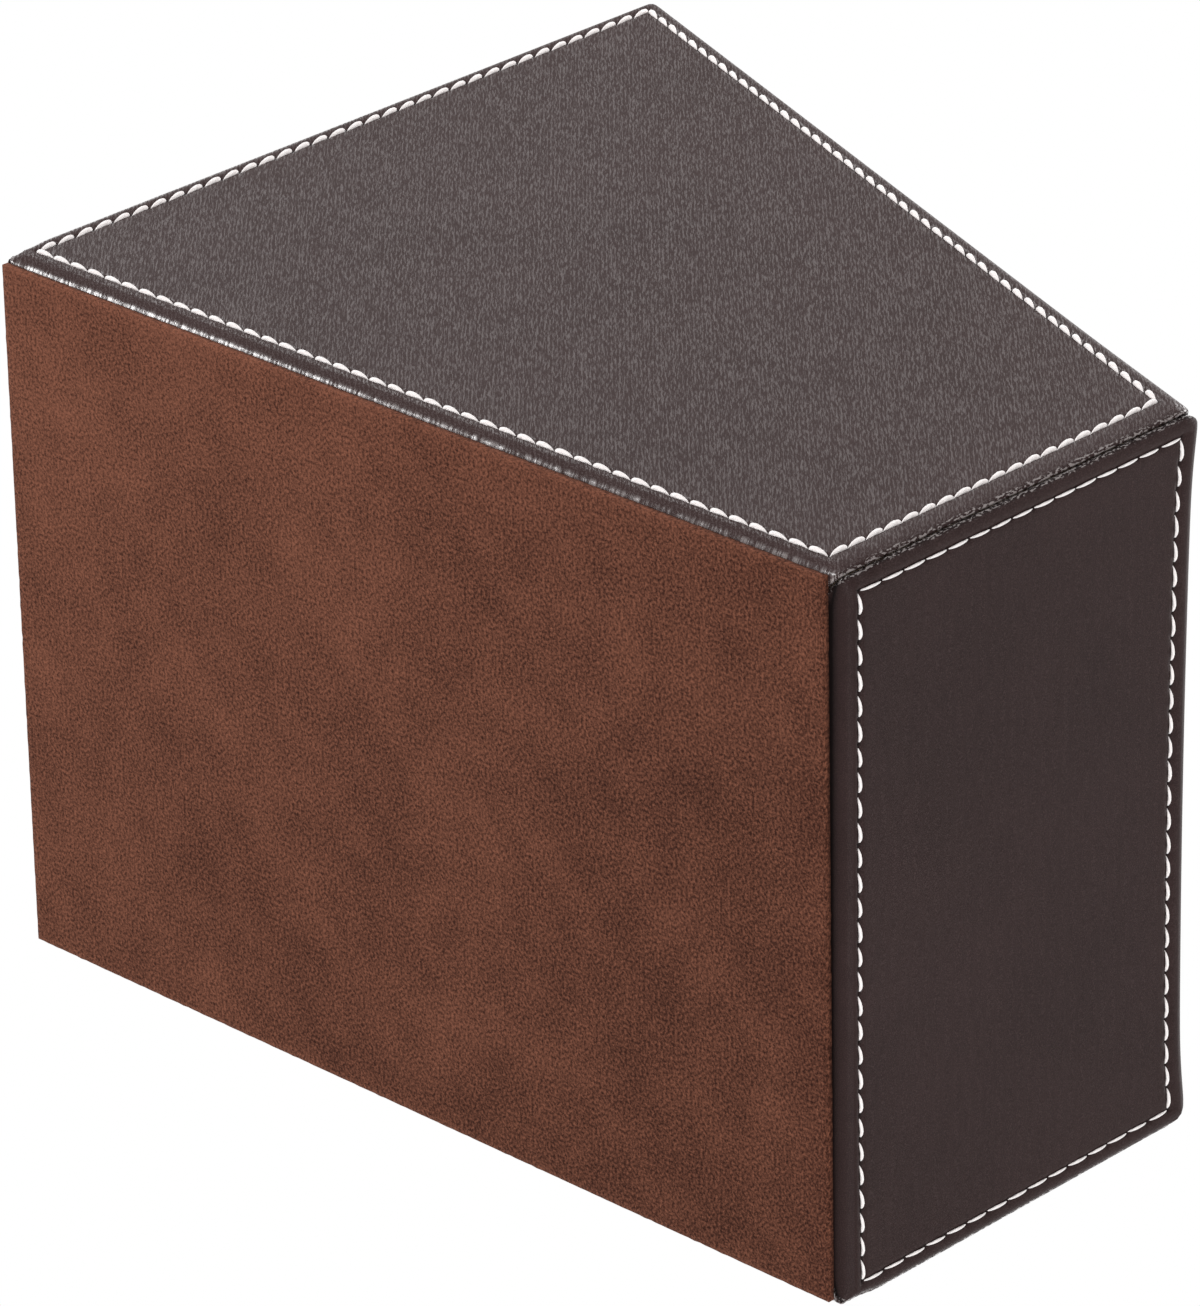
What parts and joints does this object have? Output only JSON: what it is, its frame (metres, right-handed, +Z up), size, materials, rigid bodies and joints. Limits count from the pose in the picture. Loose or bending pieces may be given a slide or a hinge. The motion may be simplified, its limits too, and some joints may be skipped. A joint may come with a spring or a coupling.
{
  "type": "remote control holder",
  "caption": "Upright holder for remote controls: a leather-covered box with a rim that slopes down to the front, contrast stitching, suede-lined compartments and a suede base.",
  "frame": {"origin": "middle of the underside, on the surface that the holder stands on", "axes": "+Z up, +Y from the low front to the high back, +X to the right seen from the front"},
  "size_m": [0.1072, 0.1556, 0.1301],
  "materials": {
    "leather": "satin, fine grain",
    "board": "raw fibreboard",
    "lining_suede": "matte nap",
    "base_suede": "matte nap",
    "card": "raw card",
    "thread": "waxed thread"
  },
  "bodies": {
    "root": {"left_cover": "leather", "right_cover": "leather", "front_cover": "leather", "back_cover": "leather", "left_board": "board", "right_board": "board", "front_board": "board", "back_board": "board", "base_board": "board", "front_divider_board": "board", "rear_divider_board": "board", "left_lining": "lining_suede", "right_lining": "lining_suede", "front_lining": "lining_suede", "back_lining": "lining_suede", "front_floor_pad": "lining_suede", "middle_floor_pad": "lining_suede", "rear_floor_pad": "lining_suede", "front_divider_cover": "lining_suede", "rear_divider_cover": "lining_suede", "base_pad": "base_suede", "base_card": "card", "left_stitching": "thread", "right_stitching": "thread", "front_stitching": "thread", "back_stitching": "thread"}
  },
  "joints": []
}
